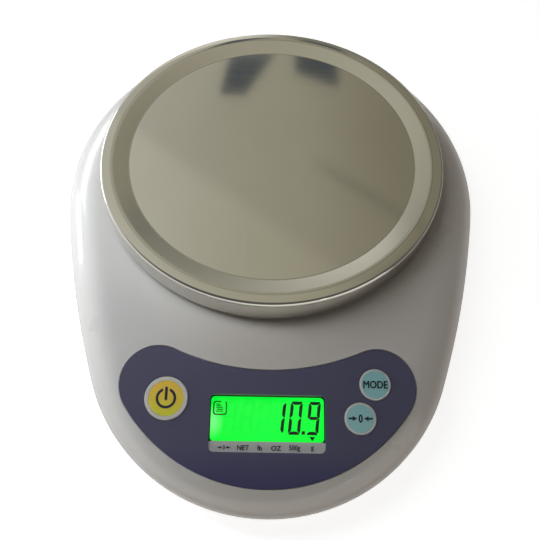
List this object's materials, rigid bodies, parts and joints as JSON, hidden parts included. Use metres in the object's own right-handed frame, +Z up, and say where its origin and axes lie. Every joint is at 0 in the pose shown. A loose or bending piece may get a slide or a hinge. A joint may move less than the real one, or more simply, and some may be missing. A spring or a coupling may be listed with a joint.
{
  "type": "digital kitchen scale",
  "caption": "Compact digital kitchen scale with a round steel platter on a load cell, a tilted control panel with a lit display and round push keys, and a battery bay underneath.",
  "frame": {"origin": "middle of the footprint's bounding box, on the table under the feet", "axes": "+Z up, +Y towards the rear, the control panel faces -Y, +X to the right of someone at the panel"},
  "size_m": [0.1886, 0.241, 0.05],
  "materials": {
    "cover_white": "glossy, pale grey-white",
    "base_plastic": "fine matte moulding",
    "carrier_plastic": "fine matte moulding",
    "label_film": "satin dark blue printed film",
    "platter_steel": "fine brushed sheen",
    "screw_steel": "zinc plated",
    "contact_steel": "nickel plated",
    "cell_aluminium": "milled, satin",
    "foot_rubber": "matte",
    "strip_rubber": "matte",
    "seal_silicone": "soft matte",
    "window_clear": "clear, polished",
    "holder_black": "matte black",
    "lcd_green": "lit green display",
    "light_guide": "diffusing white",
    "board_green": "solder resist",
    "key_yellow": "satin yellow",
    "key_teal": "satin pale teal",
    "battery_wrap": "printed sleeve",
    "lead_grey": "soft sleeve",
    "lead_red": "soft sleeve"
  },
  "bodies": {
    "housing": {"top_cover": "cover_white", "base_shell": "base_plastic", "label_overlay": "label_film", "case_screw_1": "screw_steel", "case_screw_2": "screw_steel", "case_screw_3": "screw_steel", "case_screw_4": "screw_steel", "board_screw_1": "screw_steel", "board_screw_2": "screw_steel", "board_screw_3": "screw_steel", "board_screw_4": "screw_steel", "load_cell_screw_1": "screw_steel", "load_cell_screw_2": "screw_steel", "overload_screw": "screw_steel", "contact_spring_1": "contact_steel", "contact_spring_2": "contact_steel", "contact_bridge": "contact_steel", "contact_plate_1": "contact_steel", "contact_plate_2": "contact_steel", "load_cell": "cell_aluminium", "load_cell_spacer": "cell_aluminium", "foot_1": "foot_rubber", "foot_2": "foot_rubber", "foot_3": "foot_rubber", "foot_4": "foot_rubber", "contact_strip": "strip_rubber", "gauge_seal_top": "seal_silicone", "gauge_seal_bottom": "seal_silicone", "display_window": "window_clear", "lcd_holder": "holder_black", "switch_power": "holder_black", "switch_mode": "holder_black", "switch_zero": "holder_black", "chip_seal": "holder_black", "lcd_glass": "lcd_green", "backlight_panel": "light_guide", "main_board": "board_green", "battery_1": "battery_wrap", "battery_2": "battery_wrap", "load_cell_cable": "lead_grey", "battery_cable": "lead_red"},
    "pan_support": {"pan_support": "carrier_plastic", "pan_pad_1": "foot_rubber", "pan_pad_2": "foot_rubber", "pan_pad_3": "foot_rubber", "pan_pad_4": "foot_rubber", "support_screw_1": "screw_steel", "support_screw_2": "screw_steel"},
    "platter": {"platter": "platter_steel"},
    "key_power": {"key_power": "key_yellow", "plunger_power": "base_plastic"},
    "key_mode": {"key_mode": "key_teal", "plunger_mode": "base_plastic"},
    "key_zero": {"key_zero": "key_teal", "plunger_zero": "base_plastic"},
    "battery_door": {"battery_door": "base_plastic"}
  },
  "joints": [
    {"name": "load_travel", "type": "slide", "parent": "housing", "child": "pan_support", "axis": [0, 0, 1], "range_m": [-0.0005, 0], "stiffness_N_per_m": 98000, "deforming": ["load_cell"]},
    {"name": "platter_lift", "type": "slide", "parent": "pan_support", "child": "platter", "axis": [0, 0, 1], "range_m": [0, 0.06]},
    {"name": "key_power_press", "type": "slide", "parent": "housing", "child": "key_power", "axis": [0, 0.1736, -0.9848], "range_m": [0, 0.0005], "stiffness_N_per_m": 400},
    {"name": "key_mode_press", "type": "slide", "parent": "housing", "child": "key_mode", "axis": [0, 0.1736, -0.9848], "range_m": [0, 0.0005], "stiffness_N_per_m": 400},
    {"name": "key_zero_press", "type": "slide", "parent": "housing", "child": "key_zero", "axis": [0, 0.1736, -0.9848], "range_m": [0, 0.0005], "stiffness_N_per_m": 400},
    {"name": "battery_door_slide", "type": "slide", "parent": "housing", "child": "battery_door", "axis": [0, 1, 0], "range_m": [0, 0.04]}
  ]
}
